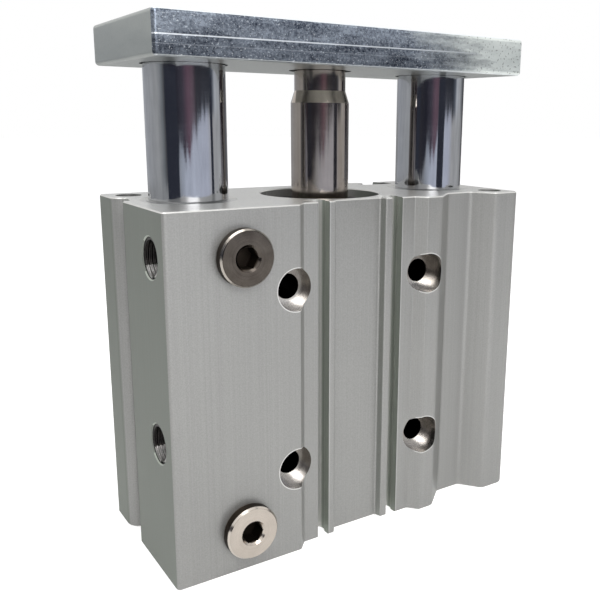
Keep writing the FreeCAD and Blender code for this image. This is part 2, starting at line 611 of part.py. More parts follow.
def port_plug(z):
    """Flanged plug with a hexagon socket and a threaded shank."""
    flange = PLUG_WASHER_T + PLUG_FLANGE_T
    shank_end = PLUG_WASHER_T - PLUG_SHANK
    edge, slope = PLUG_EDGE
    solid = turned([
        (0, shank_end), (PLUG_SHANK_R - THREAD_LEAD, shank_end),
        (PLUG_SHANK_R, shank_end + THREAD_LEAD), (PLUG_SHANK_R, PLUG_WASHER_T),
        (PLUG_FLANGE_R, PLUG_WASHER_T), (PLUG_FLANGE_R, flange - slope),
        (PLUG_FLANGE_R - edge, flange), (0, flange)])
    socket = hexagon(PLUG_KEY, (0, 0, flange - PLUG_KEY_DEPTH), PLUG_KEY_DEPTH + OVERRUN, UP)
    chamfer = cone_cut(PLUG_KEY / sqrt(3), PLUG_KEY_CHAMFER, flange)
    return laid_over(solid.cut([socket, chamfer]), z)


def plug_washer(z):
    """Sealing washer under a plug's flange."""
    return laid_over(ring(PLUG_SHANK_R, PLUG_FLANGE_R - PLUG_WASHER_INSET, 0, PLUG_WASHER_T), z)


# ---------------------------------------------------------------- assembly
def sub_parts():
    """Every node of the assembly with its shape."""
    low, high = FRONT_PORT_Z
    nodes = {
        "cylinder_body": cylinder_body(),
        "passage_ball": passage_ball(),
        "head_cover": head_cover(),
        "head_seal": mouth_seal(HEAD_GROOVE_Z),
        "head_retaining_ring": retaining_ring(HEAD_TOP - HEAD_T - RING_T, HEAD_RING_TURN),
        "rod_collar": rod_collar(),
        "collar_seal": mouth_seal(COLLAR_GROOVE_Z),
        "collar_retaining_ring": retaining_ring(COLLAR_TOP, COLLAR_RING_TURN),
        "rod_bush": rod_bush(),
        "rod_seal": rod_seal(),
        "port_plug_lower": port_plug(low),
        "port_plug_upper": port_plug(high),
        "plug_washer_lower": plug_washer(low),
        "plug_washer_upper": plug_washer(high),
        "piston": piston(),
        "piston_seal": piston_seal(),
        "piston_magnet": piston_magnet(),
        "piston_gasket": piston_gasket(),
        "bumper_head_side": bumper(HEAD_BUMPER_R, piston_levels()[0], -1),
        "bumper_rod_side": bumper(ROD_BUMPER_R, piston_levels()[1], 1),
        "piston_rod": piston_rod(),
        "end_plate": end_plate(),
        "rod_screw": countersunk_screw(0.0, ROD_SCREW),
    }
    for name, x in (("left", -GUIDE_X), ("right", GUIDE_X)):
        nodes["guide_rod_" + name] = guide_rod(x)
        nodes["guide_bush_lower_" + name] = guide_bush(x, LOWER_BUSH)
        nodes["guide_bush_upper_" + name] = guide_bush(x, UPPER_BUSH)
        nodes["guide_felt_" + name] = guide_felt(x)
        nodes["guide_screw_" + name] = countersunk_screw(x, GUIDE_SCREW)
    return nodes


def main():
    """Build every sub-part and write it to its own file."""
    os.makedirs("parts", exist_ok=True)
    for name, shape in sub_parts().items():
        shape.exportStep(os.path.join("parts", name + ".step"))


main()
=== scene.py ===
import json
from math import cos, pi, radians, sin

import bmesh
import bpy
from mathutils import Matrix, Vector


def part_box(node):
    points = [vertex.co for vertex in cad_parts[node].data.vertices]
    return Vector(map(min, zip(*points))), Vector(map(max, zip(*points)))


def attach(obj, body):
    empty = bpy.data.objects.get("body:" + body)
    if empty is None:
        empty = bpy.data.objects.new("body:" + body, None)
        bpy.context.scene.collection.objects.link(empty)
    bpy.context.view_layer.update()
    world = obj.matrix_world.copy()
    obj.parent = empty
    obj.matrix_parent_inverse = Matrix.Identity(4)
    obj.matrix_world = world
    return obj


# Guided pneumatic cylinder: a grooved aluminium housing, a piston rod and two guide
# rods that carry a steel end plate. Metres, +Z along the stroke, ports towards -Y.
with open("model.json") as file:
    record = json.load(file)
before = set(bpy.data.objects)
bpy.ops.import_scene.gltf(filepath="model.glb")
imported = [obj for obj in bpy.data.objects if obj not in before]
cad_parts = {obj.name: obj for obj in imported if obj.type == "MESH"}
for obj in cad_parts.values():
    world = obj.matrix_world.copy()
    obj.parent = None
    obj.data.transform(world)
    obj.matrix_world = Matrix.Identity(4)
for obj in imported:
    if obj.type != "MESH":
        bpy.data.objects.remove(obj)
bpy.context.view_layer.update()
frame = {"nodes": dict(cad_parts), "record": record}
nodes = frame["nodes"]
mounts = {mount["name"]: mount for mount in frame["record"]["mounts"]}


# ---------------------------------------------------------------- housing
# One length of aluminium extrusion, clear anodised to a satin grey. The long faces keep
# the fine lines of the die, both ends are milled, and the holes are cut bright afterwards.
def new_finish(name, colour, metallic, roughness):
    """Material with its principled shader set; returns material, tree and shader."""
    finish = bpy.data.materials.new(name)
    finish.use_nodes = True
    tree = finish.node_tree
    shader = tree.nodes["Principled BSDF"]
    shader.inputs["Base Color"].default_value = (*colour, 1)
    shader.inputs["Metallic"].default_value = metallic
    shader.inputs["Roughness"].default_value = roughness
    return finish, tree, shader


def feed(tree, value, socket):
    """Link a socket, or set a plain value."""
    if isinstance(value, bpy.types.NodeSocket):
        tree.links.new(value, socket)
    elif value is not None:
        socket.default_value = value


def calc(tree, operation, *values):
    """Math node; returns its result."""
    node = tree.nodes.new("ShaderNodeMath")
    node.operation = operation
    for k, value in enumerate(values):
        feed(tree, value, node.inputs[k])
    return node.outputs[0]


def over(tree, value, limit):
    """1 where a value is above a limit."""
    return calc(tree, "GREATER_THAN", value, limit)


def under(tree, value, limit):
    """1 where a value is below a limit."""
    return calc(tree, "LESS_THAN", value, limit)


def both(tree, first, *others):
    """Product of masks: where all of them hold."""
    for mask in others:
        first = calc(tree, "MULTIPLY", first, mask)
    return first


def either(tree, first, *others):
    """Largest of masks: where any of them holds."""
    for mask in others:
        first = calc(tree, "MAXIMUM", first, mask)
    return first


def total(tree, first, *others):
    """Sum of values."""
    for value in others:
        first = calc(tree, "ADD", first, value)
    return first


def spread(tree, value, low, high, out_low=0.0, out_high=1.0):
    """Map a range of values to another, clamped."""
    node = tree.nodes.new("ShaderNodeMapRange")
    for socket, given in zip(node.inputs, (value, low, high, out_low, out_high)):
        feed(tree, given, socket)
    return node.outputs[0]


def blend_colour(tree, amount, first, second, mode="MIX"):
    """Colour mix; amount, first and second are sockets or values."""
    node = tree.nodes.new("ShaderNodeMix")
    node.data_type = "RGBA"
    node.blend_type = mode
    feed(tree, amount, node.inputs[0])
    for socket, given in ((node.inputs[6], first), (node.inputs[7], second)):
        feed(tree, (*given, 1) if isinstance(given, tuple) else given, socket)
    return node.outputs[2]


def object_point(tree, centre=(0, 0, 0), scale=(1, 1, 1), turn=(0, 0, 0)):
    """Object coordinates, centred on a point, turned and scaled."""
    where = tree.nodes.new("ShaderNodeTexCoord").outputs["Object"]
    shift = tree.nodes.new("ShaderNodeVectorMath")
    shift.operation = "SUBTRACT"
    feed(tree, where, shift.inputs[0])
    shift.inputs[1].default_value = centre
    mapped = tree.nodes.new("ShaderNodeMapping")
    feed(tree, shift.outputs[0], mapped.inputs["Vector"])
    mapped.inputs["Rotation"].default_value = turn
    mapped.inputs["Scale"].default_value = scale
    return mapped.outputs[0]


def noise(tree, point, scale=1.0, detail=2.0, roughness=0.5):
    """Noise value at a point."""
    node = tree.nodes.new("ShaderNodeTexNoise")
    feed(tree, point, node.inputs["Vector"])
    node.inputs["Scale"].default_value = scale
    node.inputs["Detail"].default_value = detail
    node.inputs["Roughness"].default_value = roughness
    return node.outputs[0]


def split(tree, vector):
    """The three components of a vector socket."""
    node = tree.nodes.new("ShaderNodeSeparateXYZ")
    feed(tree, vector, node.inputs[0])
    return node.outputs


def relief(tree, shader, height, depth, strength):
    """Bump from a height of 0 to 1 over the given depth in metres."""
    node = tree.nodes.new("ShaderNodeBump")
    node.inputs["Strength"].default_value = strength
    node.inputs["Distance"].default_value = depth
    feed(tree, height, node.inputs["Height"])
    tree.links.new(node.outputs[0], shader.inputs["Normal"])


def facing(tree, axis):
    """How squarely the surface faces along an axis, 0 to 1."""
    normal = tree.nodes.new("ShaderNodeNewGeometry").outputs["Normal"]
    return calc(tree, "ABSOLUTE", split(tree, normal)["XYZ".index(axis)])


def dress(finish, *names):
    """Give CAD nodes one finish on all their slots."""
    for name in names:
        mesh = nodes[name].data
        mesh.materials.clear()
        mesh.materials.append(finish)
        mesh.polygons.foreach_set("material_index", [0] * len(mesh.polygons))


def spots(name, along="z"):
    """Centres of a mount's holes, from the record."""
    x, y, z = mounts[name]["pos_m"]
    dims = mounts[name]["dims"]
    if "count" not in dims:
        return [(x, y, z)]
    half_x, half_y = dims["spacing_x_mm"] / 2000, dims["spacing_y_mm"] / 2000
    if along == "z":
        return [(x + sx * half_x, y, z + sz * half_y) for sx in (-1, 1) for sz in (-1, 1)]
    return [(x + sx * half_x, y + sy * half_y, z) for sx in (-1, 1) for sy in (-1, 1)]


def off_axis(tree, one, two, centre):
    """Distance from an axis, from two coordinates and their values on the axis."""
    squares = [calc(tree, "POWER", calc(tree, "SUBTRACT", value, at), 2.0)
               for value, at in zip((one, two), centre)]
    return calc(tree, "SQRT", calc(tree, "ADD", *squares))


anodised, tree, shader = new_finish("satin_anodised", (0.34, 0.34, 0.33), 0.70, 0.42)
x, y, z = split(tree, object_point(tree))
die_lines = noise(tree, object_point(tree, scale=(2600, 2600, 4)), detail=2, roughness=0.6)
etch = noise(tree, object_point(tree), scale=3200, detail=2, roughness=0.75)
haze = noise(tree, object_point(tree, scale=(16, 16, 12)), detail=3)
cutter_paths = noise(tree, object_point(tree, scale=(30, 1400, 1)), detail=2)
upward = facing(tree, "Z")
long_side = spread(tree, upward, 0.55, 0.35)
milled_ends_painted_light = spread(tree, upward, 0.90, 0.98)
shaded_narrow_side = spread(tree, facing(tree, "X"), 0.90, 0.98)
# the end edges are broken after anodising, so they are bare and bright
broken_edge = both(tree, over(tree, upward, 0.5), under(tree, upward, 0.88))
# painted light: the milled ends are painted brighter than the sides, partly as light falling from above
tone = total(tree, both(tree, spread(tree, die_lines, 0.3, 0.7, -0.04, 0.04), long_side),
             spread(tree, etch, 0.32, 0.68, -0.09, 0.09),
             spread(tree, haze, 0.35, 0.65, -0.04, 0.04), milled_ends_painted_light, 1.0, broken_edge)
# the sensor grooves are painted paler along one side of the floor as light, with a painted highlight on one
# lip
groove_front_y, groove_half = -0.0148, 0.003
lip_x, lip_half = 0.0019, 0.00018
for groove in ("sensor_groove_left", "sensor_groove_right"):
    groove_x, groove_y = mounts[groove]["pos_m"][:2]
    across = calc(tree, "SUBTRACT", x, groove_x)
    inside = both(tree, over(tree, y, groove_y + 0.0003), under(tree, y, groove_front_y),
                  under(tree, calc(tree, "ABSOLUTE", across), groove_half))
    lip_highlight = under(tree, calc(tree, "ABSOLUTE", calc(tree, "SUBTRACT", across, lip_x)), lip_half)
    tone = total(tree, tone, both(tree, inside, spread(tree, across, -0.0006, 0.0019, 1.3, 0.45)),
                 both(tree, lip_highlight, 0.30))
# the counterbores are cut bright after anodising; their lower walls are painted paler as light, and their
# rims carry a painted highlight
wall_r, drill_r, rim_in, rim_out = 0.00552, 0.00345, 0.00542, 0.00572
cut, shaded_deep, rim, painted_light = [], [], [], []
for hole_x, floor_y, hole_z in spots("front_through_holes"):
    reach = off_axis(tree, x, z, (hole_x, hole_z))
    inside = under(tree, reach, wall_r)
    cut.append(inside)
    shaded_deep.append(both(tree, under(tree, reach, drill_r), over(tree, y, floor_y + 0.0003)))
    rim.append(both(tree, under(tree, reach, rim_out), over(tree, reach, rim_in),
                    under(tree, y, floor_y - 0.0040)))
    painted_light.append(both(tree, inside, spread(tree, z, hole_z - 0.0008, hole_z - 0.0044)))
# the side ports are painted dark inside as shade, and their mouths are painted as grey as the shaded side
side_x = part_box("cylinder_body")[0].x
port_r, mouth_r, port_end_x = 0.00535, 0.0058, -0.030
for port in ("side_port_lower", "side_port_upper"):
    reach = off_axis(tree, y, z, mounts[port]["pos_m"][1:])
    shaded_deep.append(both(tree, under(tree, reach, port_r), over(tree, x, side_x + 0.0003),
                     under(tree, x, port_end_x)))
    shaded_narrow_side = either(tree, shaded_narrow_side,
                         both(tree, under(tree, reach, mouth_r), under(tree, x, side_x + 0.0009)))
cut, shaded_deep, rim, painted_light = (either(tree, *masks) for masks in (cut, shaded_deep, rim, painted_light))
# painted shade: the narrow sides and the side port mouths are darker than the long sides
base = blend_colour(tree, shaded_narrow_side, (0.305, 0.304, 0.294), (0.208, 0.223, 0.199))
skin = blend_colour(tree, 1.0, base, tone, "MULTIPLY")
cutter_marks = noise(tree, object_point(tree, scale=(600, 2400, 600)))
bare = blend_colour(tree, cutter_marks, (0.13, 0.115, 0.10), (0.34, 0.32, 0.295))
# painted light on the counterbores' lower walls, and a painted highlight on their rims
bare = blend_colour(tree, painted_light, bare, (0.52, 0.505, 0.49))
colour = blend_colour(tree, rim, blend_colour(tree, cut, skin, bare), (0.66, 0.65, 0.635))
# painted shade: near black deep in the through holes and the side ports
colour = blend_colour(tree, shaded_deep, colour, (0.012, 0.010, 0.009))
feed(tree, colour, shader.inputs["Base Color"])
rough = total(tree, spread(tree, etch, 0.3, 0.7, 0.37, 0.45), both(tree, milled_ends_painted_light, -0.10),
              both(tree, shaded_narrow_side, 0.15))
feed(tree, spread(tree, cut, 0.0, 1.0, rough, 0.27), shader.inputs["Roughness"])
feed(tree, either(tree, 0.70, cut), shader.inputs["Metallic"])
height = total(tree, both(tree, die_lines, long_side), both(tree, cutter_paths, milled_ends_painted_light), etch)
relief(tree, shader, height, 0.00002, 0.4)
dress(anodised, "cylinder_body")


# ---------------------------------------------------------------- tapped holes
# Threads are cut into the housing and the end plate: pipe thread in the open side ports,
# M8 in the corner holes, the rear mounting holes and the plate. Each is a thin threaded
# wall that lines its drilled hole.
def thread_tree(name, finish):
    """Geometry tree of a threaded wall: rows of a grid that climb one pitch per turn."""
    group = bpy.data.node_groups.new(name, "GeometryNodeTree")
    for label, kind in (("Wall radius", "NodeSocketFloat"), ("Thread depth", "NodeSocketFloat"),
                        ("Pitch", "NodeSocketFloat"), ("Length", "NodeSocketFloat"),
                        ("Rows", "NodeSocketInt")):
        group.interface.new_socket(label, in_out="INPUT", socket_type=kind)
    group.interface.new_socket("Wall", in_out="OUTPUT", socket_type="NodeSocketGeometry")
    add, link = group.nodes.new, group.links.new
    given = add("NodeGroupInput").outputs
    grid = add("GeometryNodeMeshGrid")
    grid.inputs["Size X"].default_value = 1.0
    grid.inputs["Size Y"].default_value = 1.0
    grid.inputs["Vertices X"].default_value = 49
    link(given["Rows"], grid.inputs["Vertices Y"])

    def maths(operation, *values):
        node = add("ShaderNodeMath")
        node.operation = operation
        for k, value in enumerate(values):
            if isinstance(value, bpy.types.NodeSocket):
                link(value, node.inputs[k])
            else:
                node.inputs[k].default_value = value
        return node.outputs[0]

    place = add("GeometryNodeInputPosition").outputs[0]
    parts = add("ShaderNodeSeparateXYZ")
    link(place, parts.inputs[0])
    turn = maths("ADD", parts.outputs["X"], 0.5)
    row = maths("MULTIPLY", maths("ADD", parts.outputs["Y"], 0.5), maths("SUBTRACT", given["Rows"], 1.0))
    # eight rows a pitch: two on the crest, two on the root and two on each flank
    phase = maths("FRACT", maths("DIVIDE", maths("ADD", row, 0.001), 8.0))
    ramp = maths("ABSOLUTE", maths("SUBTRACT", maths("MULTIPLY", phase, 2.0), 1.0))
    crest = add("ShaderNodeMapRange")
    link(ramp, crest.inputs["Value"])
    crest.inputs["From Min"].default_value = 0.20
    crest.inputs["From Max"].default_value = 0.80
    cut_in = maths("MULTIPLY", crest.outputs[0], given["Thread depth"])
    radius = maths("SUBTRACT", given["Wall radius"], cut_in)
    climb = maths("ADD", maths("DIVIDE", row, 8.0), maths("SUBTRACT", turn, 1.0))
    along = maths("MINIMUM", maths("MAXIMUM", maths("MULTIPLY", climb, given["Pitch"]), 0.0), given["Length"])
    angle = maths("MULTIPLY", turn, 2 * pi)
    spot = add("ShaderNodeCombineXYZ")
    link(maths("MULTIPLY", radius, maths("COSINE", angle)), spot.inputs["X"])
    link(maths("MULTIPLY", radius, maths("SINE", angle)), spot.inputs["Y"])
    link(along, spot.inputs["Z"])
    move = add("GeometryNodeSetPosition")
    link(grid.outputs["Mesh"], move.inputs["Geometry"])
    link(spot.outputs[0], move.inputs["Position"])
    joined = add("GeometryNodeMergeByDistance")
    joined.inputs["Distance"].default_value = 0.000002
    link(move.outputs[0], joined.inputs["Geometry"])
    flip = add("GeometryNodeFlipFaces")
    link(joined.outputs[0], flip.inputs[0])
    real = add("GeometryNodeRealizeInstances")
    link(flip.outputs[0], real.inputs[0])
    coat = add("GeometryNodeSetMaterial")
    coat.inputs["Material"].default_value = finish
    link(real.outputs[0], coat.inputs["Geometry"])
    link(coat.outputs[0], add("NodeGroupOutput").inputs[0])
    return group


def thread_mesh(group, sizes):
    """Plain mesh of one threaded wall along +Z from the origin."""
    holder = bpy.data.objects.new("thread_form", bpy.data.meshes.new("thread_form"))
    bpy.context.scene.collection.objects.link(holder)
    form = holder.modifiers.new("form", "NODES")
    form.node_group = group
    for item in group.interface.items_tree:
        if item.in_out == "INPUT":
            form[item.identifier] = sizes[item.name]
    seen = holder.evaluated_get(bpy.context.evaluated_depsgraph_get())
    mesh = bpy.data.meshes.new_from_object(seen)
    bpy.data.objects.remove(holder)
    return mesh


def line_holes(name, body, form, places):
    """Join threaded walls at (mouth, inward direction) places into one piece."""
    whole = bmesh.new()
    for mouth, inward in places:
        lining = form.copy()
        turned = Vector((0, 0, 1)).rotation_difference(Vector(inward)).to_matrix().to_4x4()
        lining.transform(Matrix.Translation(Vector(mouth)) @ turned)
        whole.from_mesh(lining)
    mesh = bpy.data.meshes.new(name)
    whole.to_mesh(mesh)
    whole.free()
    mesh.materials.append(cut_thread)
    mesh.polygons.foreach_set("material_index", [0] * len(mesh.polygons))
    piece = bpy.data.objects.new(name, mesh)
    bpy.context.scene.collection.objects.link(piece)
    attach(piece, body)


def sizes_of(radius, depth, pitch, length):
    """Values for the thread tree's inputs."""
    return {"Wall radius": radius, "Thread depth": depth, "Pitch": pitch, "Length": length,
            "Rows": int(8 * (length / pitch + 1)) + 2}


cut_thread, tree, shader = new_finish("cut_thread", (0.03, 0.028, 0.026), 1.0, 0.36)
swarf = noise(tree, object_point(tree), scale=3000, detail=2)
feed(tree, spread(tree, swarf, 0.3, 0.7, 0.26, 0.44), shader.inputs["Roughness"])
# painted light on the lower flanks of the side ports' threads
thread_at = split(tree, object_point(tree))
painted_light = []
for port in ("side_port_lower", "side_port_upper"):
    below = calc(tree, "SUBTRACT", mounts[port]["pos_m"][2], thread_at["Z"])
    painted_light.append(both(tree, over(tree, below, 0.0023), under(tree, below, 0.0060)))
painted_light = both(tree, either(tree, *painted_light), under(tree, thread_at["X"], -0.045))
# painted shade: the threads are near black, as inside a hole
shaded_thread_tone = blend_colour(tree, swarf, (0.020, 0.019, 0.018), (0.075, 0.070, 0.066))
feed(tree, blend_colour(tree, painted_light, shaded_thread_tone, (0.42, 0.41, 0.40)), shader.inputs["Base Color"])
threads = thread_tree("cut_thread_form", cut_thread)
g_eighth = {"radius": 0.00487, "depth": 0.00055, "pitch": 0.000907}
m8 = {"radius": 0.0040, "depth": 0.00062, "pitch": 0.00125}
pipe_thread = thread_mesh(threads, sizes_of(**g_eighth, length=0.0066))
lead_in = 0.00045
line_holes("side_port_threads", "housing", pipe_thread,
           [((side_x + lead_in, *mounts[port]["pos_m"][1:]), (1, 0, 0))
            for port in ("side_port_lower", "side_port_upper")])
m8_thread = thread_mesh(threads, sizes_of(**m8, length=0.0158))
line_holes("base_threads", "housing", m8_thread,
           [(spot, (0, 0, 1)) for spot in spots("base_taps", "y")])
line_holes("rear_threads", "housing", m8_thread,
           [(spot, (0, -1, 0)) for spot in spots("rear_taps")])
plate_thread = thread_mesh(threads, sizes_of(**m8, length=0.0075))
line_holes("plate_threads", "carriage", plate_thread,
           [((hx, hy, hz - 0.0003), (0, 0, -1)) for hx, hy, hz in spots("plate_taps", "y")])


# ---------------------------------------------------------------- head end
# A turned aluminium disc with an O-ring closes the bore at the base. A black spring ring
# holds it, and a small steel ball closes the upright drilling beside it.
def turned_finish(name, first, second, roughness, centre=(0, 0, 0), axis="Z", metallic=1.0,
                  pitch=5000):
    """Finish of a turned part: fine rings round an axis through centre."""
    finish, tree, shader = new_finish(name, first, metallic, roughness)
    parts = split(tree, object_point(tree, centre))
    flat = [parts[k] for k in range(3) if "XYZ"[k] != axis]
    reach = off_axis(tree, *flat, (0, 0))
    along = parts["XYZ".index(axis)]
    rings = tree.nodes.new("ShaderNodeCombineXYZ")
    feed(tree, calc(tree, "MULTIPLY", reach, pitch), rings.inputs[0])
    feed(tree, calc(tree, "MULTIPLY", along, pitch), rings.inputs[1])
    tool_lines = noise(tree, rings.outputs[0], detail=2)
    smudge = noise(tree, object_point(tree), scale=220, detail=3)
    mixed = calc(tree, "MULTIPLY", calc(tree, "ADD", tool_lines, smudge), 0.5)
    feed(tree, blend_colour(tree, spread(tree, mixed, 0.35, 0.65), first, second),
         shader.inputs["Base Color"])
    feed(tree, spread(tree, mixed, 0.35, 0.65, roughness - 0.05, roughness + 0.07),
         shader.inputs["Roughness"])
    relief(tree, shader, tool_lines, 0.00002, 0.4)
    return finish


def plain_finish(name, first, second, roughness, metallic=0.0, scale=900, depth=0.00003):
    """Finish of a moulded, coated or pressed part: fine mottling and grain."""
    finish, tree, shader = new_finish(name, first, metallic, roughness)
    mottle = noise(tree, object_point(tree), scale=scale, detail=3, roughness=0.6)
    grain = noise(tree, object_point(tree), scale=scale * 5, detail=1)
    feed(tree, blend_colour(tree, spread(tree, mottle, 0.3, 0.7), first, second),
         shader.inputs["Base Color"])
    feed(tree, spread(tree, mottle, 0.3, 0.7, roughness - 0.08, roughness + 0.08),
         shader.inputs["Roughness"])
    relief(tree, shader, grain, depth, 0.5)
    return finish


dress(turned_finish("turned_cover", (0.46, 0.46, 0.46), (0.55, 0.55, 0.55), 0.30), "head_cover")
dress(plain_finish("phosphated_ring", (0.035, 0.035, 0.038), (0.06, 0.06, 0.062), 0.45, 0.6),
      "head_retaining_ring", "collar_retaining_ring")
dress(plain_finish("bearing_ball", (0.52, 0.52, 0.53), (0.60, 0.60, 0.61), 0.12, 1.0),
      "passage_ball")
nitrile = plain_finish("nitrile", (0.012, 0.012, 0.012), (0.022, 0.021, 0.020), 0.55)
dress(nitrile, "head_seal", "collar_seal", "piston_seal", "piston_gasket")


# ---------------------------------------------------------------- rod end of the bore
# The dark hard anodised collar guides the piston rod. It carries a dry bearing, the lip
# seal that wipes the rod and its own O-ring, and a spring ring keeps it in the housing.
dress(turned_finish("dark_collar", (0.012, 0.011, 0.011), (0.024, 0.022, 0.021), 0.42,
                    metallic=0.7), "rod_collar")
dress(plain_finish("dry_bearing", (0.30, 0.28, 0.24), (0.42, 0.40, 0.35), 0.35, 0.9), "rod_bush")
dress(nitrile, "rod_seal")


# ---------------------------------------------------------------- guide bearings
# Each guide rod runs in two steel-backed slide bearings with an oiled felt ring between.
# Only the bright edge of the upper bearing shows in the housing's face.
guide_x = {"left": -0.039, "right": 0.039}
for side, rod_x in guide_x.items():
    dress(turned_finish("bearing_edge_" + side, (0.44, 0.44, 0.43), (0.55, 0.55, 0.54), 0.30,
                        (rod_x, 0, 0)), "guide_bush_upper_" + side, "guide_bush_lower_" + side)
dress(plain_finish("oiled_felt", (0.48, 0.43, 0.34), (0.60, 0.55, 0.45), 0.9, scale=1400, depth=0.0002),
      "guide_felt_left", "guide_felt_right")


# ---------------------------------------------------------------- port plugs
# Nickel plated plugs close both front ports. They are turned, so their faces carry fine
# rings round a hexagon socket, and each one sits on a thin dark sealing washer.
# the upper plug is painted in much darker tones than the lower one, as shade
plug_shaded_and_lit_tones = {"upper": ((0.050, 0.042, 0.036), (0.135, 0.118, 0.103)),
              "lower": ((0.46, 0.41, 0.36), (0.58, 0.52, 0.46))}
socket_r, socket_lead_in, rim_width = 0.0031, 0.0006, 0.0004
for level, tones in plug_shaded_and_lit_tones.items():
    first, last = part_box("port_plug_" + level)
    middle = (first + last) / 2
    nickel = turned_finish("nickel_plug_" + level, *tones, 0.18, middle, "Y", pitch=4200)
    tree = nickel.node_tree
    x, y, z = split(tree, object_point(tree, middle))
    reach = off_axis(tree, x, z, (0, 0))
    # painted shade in the hexagon socket
    socket = both(tree, under(tree, reach, socket_r),
                  over(tree, y, first.y - middle.y + socket_lead_in))
    # painted shade on the turned sides of the flanges
    side = under(tree, facing(tree, "Y"), 0.3)
    # a painted highlight round the rim of each face
    rim = both(tree, over(tree, reach, (last.x - first.x) / 2 - rim_width),
               calc(tree, "SUBTRACT", 1.0, side))
    tone, rough = (tree.nodes["Principled BSDF"].inputs[label] for label in ("Base Color", "Roughness"))
    with_painted_light = blend_colour(tree, side, tone.links[0].from_socket, (0.030, 0.022, 0.016))
    with_painted_light = blend_colour(tree, both(tree, rim, 0.7), with_painted_light, (0.62, 0.57, 0.51))
    feed(tree, blend_colour(tree, socket, with_painted_light, (0.030, 0.024, 0.019)), tone)
    feed(tree, spread(tree, either(tree, side, socket), 0.0, 1.0, rough.links[0].from_socket, 0.5), rough)
    dress(nickel, "port_plug_" + level)
dress(plain_finish("fibre_washer", (0.05, 0.035, 0.025), (0.08, 0.055, 0.04), 0.7),
      "plug_washer_lower", "plug_washer_upper")


# ---------------------------------------------------------------- piston
# The piston sits on the rod's spigot inside the bore, with its seal, a magnet strip for
# the sensors and a soft stop ring on each face. It shows only when taken apart.
dress(turned_finish("turned_piston", (0.50, 0.50, 0.50), (0.60, 0.60, 0.60), 0.28), "piston")
dress(plain_finish("bonded_magnet", (0.03, 0.028, 0.028), (0.05, 0.048, 0.048), 0.6), "piston_magnet")
dress(plain_finish("stop_ring", (0.02, 0.02, 0.021), (0.035, 0.035, 0.036), 0.5),
      "bumper_head_side", "bumper_rod_side")


# ---------------------------------------------------------------- rods
# The guide rods are ground and hard chromed like a mirror. The piston rod is ground
# stainless steel, warmer and a little duller, with the marks of the wheel round it.
def ground_finish(name, first, second, roughness, centre, streak):
    """Finish of a ground bar: rings left by the wheel and faint upright streaks."""
    finish, tree, shader = new_finish(name, first, 1.0, roughness)
    wheel = noise(tree, object_point(tree, centre, (90, 90, 6000)), detail=3, roughness=0.6)
    streaks = noise(tree, object_point(tree, centre, (900, 900, 12)), detail=2)
    handling = noise(tree, object_point(tree, centre), scale=160, detail=3)
    mixed = calc(tree, "MULTIPLY", calc(tree, "ADD", streaks, handling), 0.5)
    feed(tree, blend_colour(tree, spread(tree, mixed, 0.35, 0.65), first, second),
         shader.inputs["Base Color"])
    feed(tree, total(tree, spread(tree, wheel, 0.3, 0.7, -0.02, 0.03),
                     spread(tree, mixed, 0.35, 0.65, -streak, streak), roughness),
         shader.inputs["Roughness"])
    relief(tree, shader, wheel, 0.000004, 0.3)
    return finish


for side, rod_x in guide_x.items():
    dress(ground_finish("hard_chrome_" + side, (0.425, 0.432, 0.450), (0.475, 0.482, 0.50), 0.07,
                        (rod_x, 0, 0), 0.015), "guide_rod_" + side)
dress(ground_finish("ground_stainless", (0.335, 0.295, 0.262), (0.405, 0.36, 0.32), 0.11,
                    (0, 0, 0), 0.03), "piston_rod")


# ---------------------------------------------------------------- end plate
# Milled steel bar, zinc plated. The crystals of the plating show as a fine bluish spangle
# on the port side, with a tool line along it, and thin out towards the right-hand end.
plated, tree, shader = new_finish("spangled_zinc", (0.2, 0.23, 0.27), 0.85, 0.34)
plate_x, plate_y, plate_z = split(tree, object_point(tree))
crystals = noise(tree, object_point(tree), scale=1700, detail=3, roughness=0.9)
clouds = noise(tree, object_point(tree, scale=(70, 70, 260)), detail=5, roughness=0.65)
mill = noise(tree, object_point(tree, scale=(25, 1200, 1200)), detail=2)
front = under(tree, plate_y, -0.0212)
to_right = total(tree, plate_x, spread(tree, clouds, 0.3, 0.7, -0.009, 0.009),
                 spread(tree, plate_z, 0.127, 0.135, -0.003, 0.006))
spangled = both(tree, spread(tree, to_right, 0.018, 0.043, 1.0, 0.0), front)
right_end = calc(tree, "SUBTRACT", front, spangled)
# crystals, with painted shade below and to the left and a few painted glints
spangle = total(tree, both(tree, crystals, 0.55), both(tree, clouds, 0.45))
sparkle = blend_colour(tree, spread(tree, spangle, 0.40, 0.62), (0.026, 0.033, 0.054), (0.29, 0.33, 0.385))
sparkle = blend_colour(tree, 1.0, sparkle, spread(tree, plate_x, -0.05, 0.03, 0.80, 1.20), "MULTIPLY")
shade_height = total(tree, plate_z, spread(tree, clouds, 0.3, 0.7, -0.001, 0.001))
sparkle = blend_colour(tree, 1.0, sparkle, spread(tree, shade_height, 0.1270, 0.1345, 0.72, 1.18), "MULTIPLY")
painted_glints = over(tree, noise(tree, object_point(tree, scale=(1, 1, 1.6)), scale=1500, detail=1), 0.665)
sparkle = blend_colour(tree, both(tree, painted_glints, 0.5), sparkle, (0.70, 0.74, 0.78))
# the calm plating elsewhere: finely pitted at the right end of the port side, and painted paler there as
# light
calm = blend_colour(tree, spread(tree, clouds, 0.3, 0.7), (0.29, 0.31, 0.30), (0.35, 0.37, 0.355))
calm = blend_colour(tree, 1.0, calm, spread(tree, right_end, 0.0, 1.0, 1.0, 2.2), "MULTIPLY")
pinholes = under(tree, noise(tree, object_point(tree), scale=1500, detail=1), 0.36)
calm = blend_colour(tree, both(tree, pinholes, right_end, 0.6), calm, (0.10, 0.10, 0.095))
surface = blend_colour(tree, spangled, calm, sparkle)
